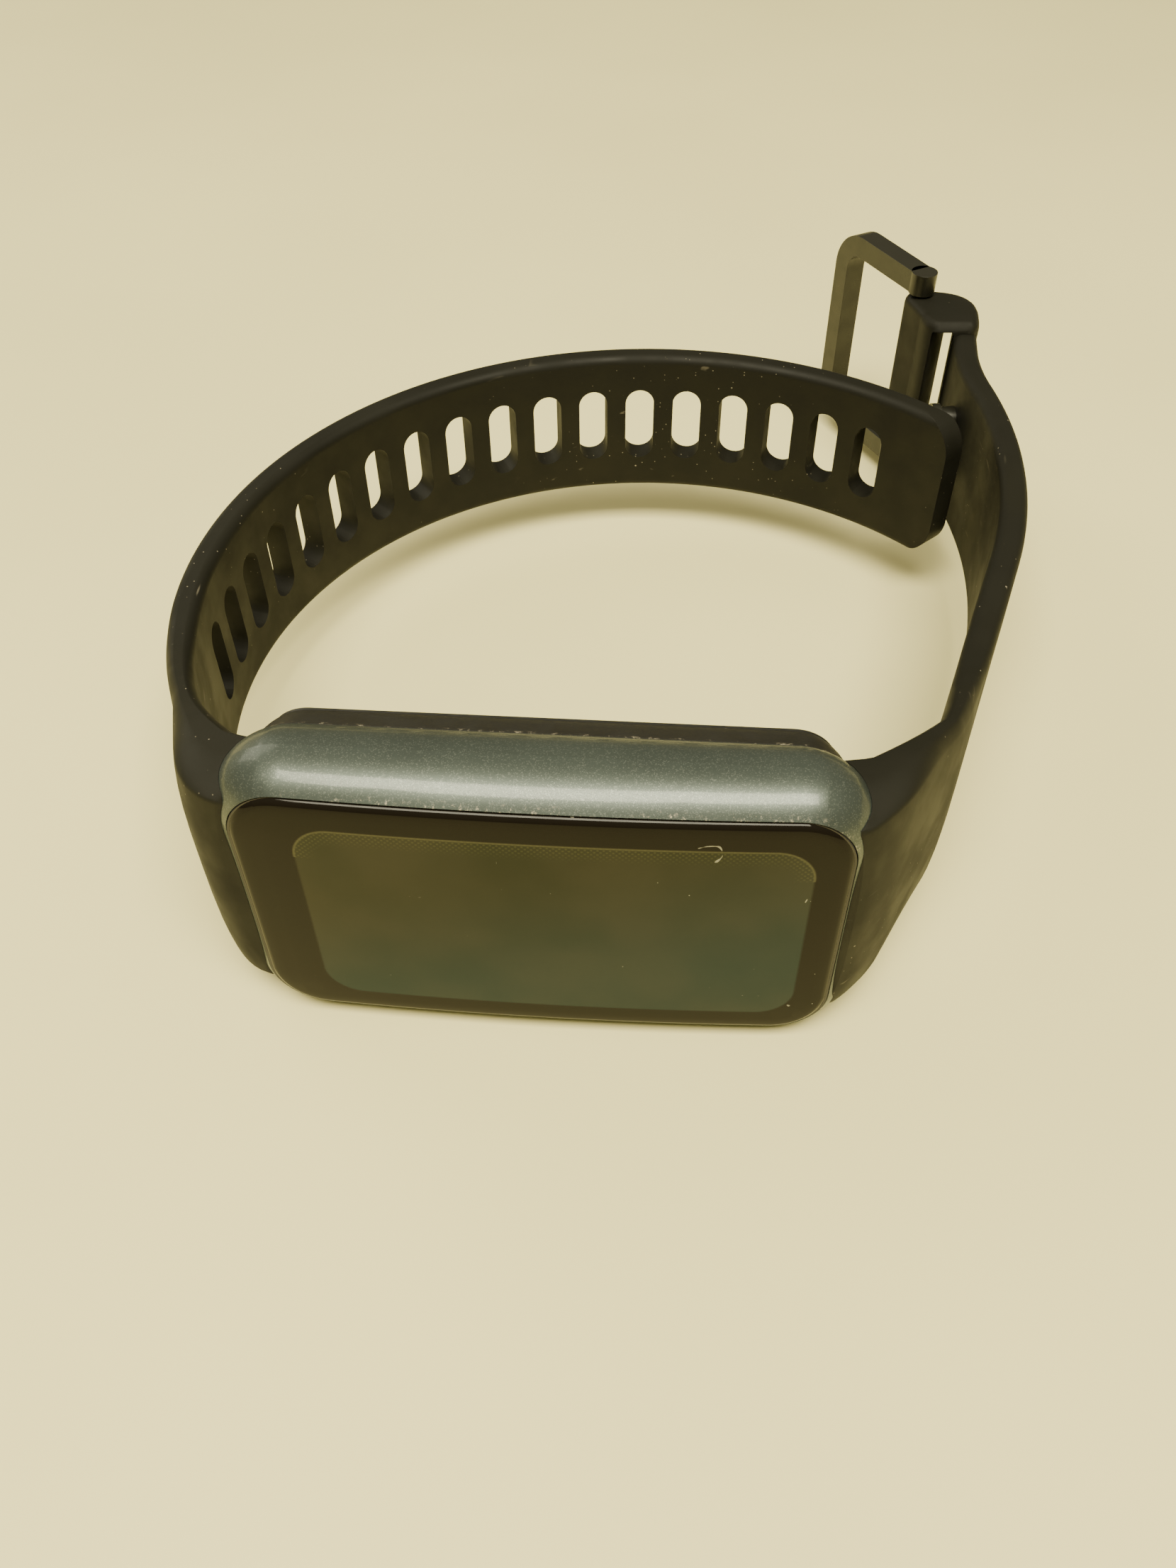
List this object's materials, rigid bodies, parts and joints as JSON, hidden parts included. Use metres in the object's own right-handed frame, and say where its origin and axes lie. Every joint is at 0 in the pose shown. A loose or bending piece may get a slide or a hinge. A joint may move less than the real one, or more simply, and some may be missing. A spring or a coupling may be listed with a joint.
{
  "type": "fitness tracker band",
  "caption": "Wrist-worn fitness tracker: a rectangular display module with a long slotted silicone strap and a short strap that ends in a loop and a swinging open buckle frame.",
  "frame": {"origin": "on the surface that the band lies on, under the middle of its bounding box", "axes": "+X along the case from the long strap to the short strap, +Y from the display to the buckle, +Z across the strap, up from the lower long side of the case; the display faces -Y"},
  "size_m": [0.0688, 0.088, 0.0254],
  "materials": {
    "case_band": "satin metallic paint",
    "black_shell": "fine matte",
    "front_glass": "polished",
    "black_print": "printed border",
    "display": "unlit display",
    "adhesive": "foam adhesive",
    "flex_film": "polyimide film",
    "frame_plastic": "moulded",
    "board_green": "solder mask",
    "board_blue": "solder mask",
    "tin_plate": "pressed sheet",
    "chip_black": "moulded package",
    "cell_foil": "laminated foil",
    "steel": "turned",
    "gold_pad": "gold plated",
    "led_clear": "moulded lens",
    "sensor_glass": "polished",
    "seal_rubber": "moulded",
    "seal_red": "moulded",
    "silicone": "soft matte with dust",
    "buckle_plastic": "satin",
    "button_cap": "satin metallic paint"
  },
  "bodies": {
    "case": {"mid_case": "case_band", "rear_cover": "black_shell", "cover_glass": "front_glass", "bezel_mask": "black_print", "glass_gasket": "adhesive", "display_panel": "display", "display_flex": "flex_film", "inner_frame": "frame_plastic", "main_board": "board_green", "shield_can": "tin_plate", "board_chips": "chip_black", "battery": "cell_foil", "battery_flex": "flex_film", "vibration_motor": "steel", "antenna_flex": "flex_film", "board_screws": "steel", "sensor_board": "board_blue", "sensor_flex": "flex_film", "sensor_leds": "led_clear", "photodiodes": "chip_black", "light_barrier": "frame_plastic", "sensor_window": "sensor_glass", "charge_contacts": "gold_pad", "contact_seals": "seal_rubber", "case_gasket": "seal_rubber", "dome_switch": "tin_plate", "long_strap_root": "silicone", "long_bar_tube": "steel", "long_bar_spring": "steel", "short_strap_root": "silicone", "short_bar_tube": "steel", "short_bar_spring": "steel"},
    "button": {"side_button": "button_cap", "button_seal": "seal_red", "button_clip": "steel"},
    "long_bar": {"long_bar_tip": "steel"},
    "short_bar": {"short_bar_tip": "steel"},
    "long_band": {"long_strap": "silicone"},
    "short_band": {"short_strap": "silicone", "fastening_stud": "buckle_plastic"},
    "buckle": {"buckle_frame": "buckle_plastic", "buckle_pin": "steel"}
  },
  "joints": [
    {"name": "button_press", "type": "slide", "parent": "case", "child": "button", "axis": [0, 0, 1], "range_m": [0, 0.0003], "stiffness_N_per_m": 8000},
    {"name": "long_bar_release", "type": "slide", "parent": "case", "child": "long_bar", "axis": [0, 0, -1], "range_m": [0, 0.0013], "stiffness_N_per_m": 1500, "deforming": ["long_bar_spring"]},
    {"name": "short_bar_release", "type": "slide", "parent": "case", "child": "short_bar", "axis": [0, 0, -1], "range_m": [0, 0.0013], "stiffness_N_per_m": 1500, "deforming": ["short_bar_spring"]},
    {"name": "long_strap_flex", "type": "hinge", "parent": "case", "child": "long_band", "pos_m": [-0.02946, -0.0315, 0.0127], "axis": [0, 0, 1], "range_deg": [0, 30], "stiffness_Nm_per_rad": 0.02},
    {"name": "short_strap_flex", "type": "hinge", "parent": "case", "child": "short_band", "pos_m": [0.02365, -0.0313, 0.0127], "axis": [0, 0, -1], "range_deg": [0, 30], "stiffness_Nm_per_rad": 0.02},
    {"name": "buckle_swing", "type": "hinge", "parent": "short_band", "child": "buckle", "pos_m": [0.02815, 0.03216, 0.0127], "axis": [0, 0, -1], "range_deg": [-90, 105]}
  ]
}
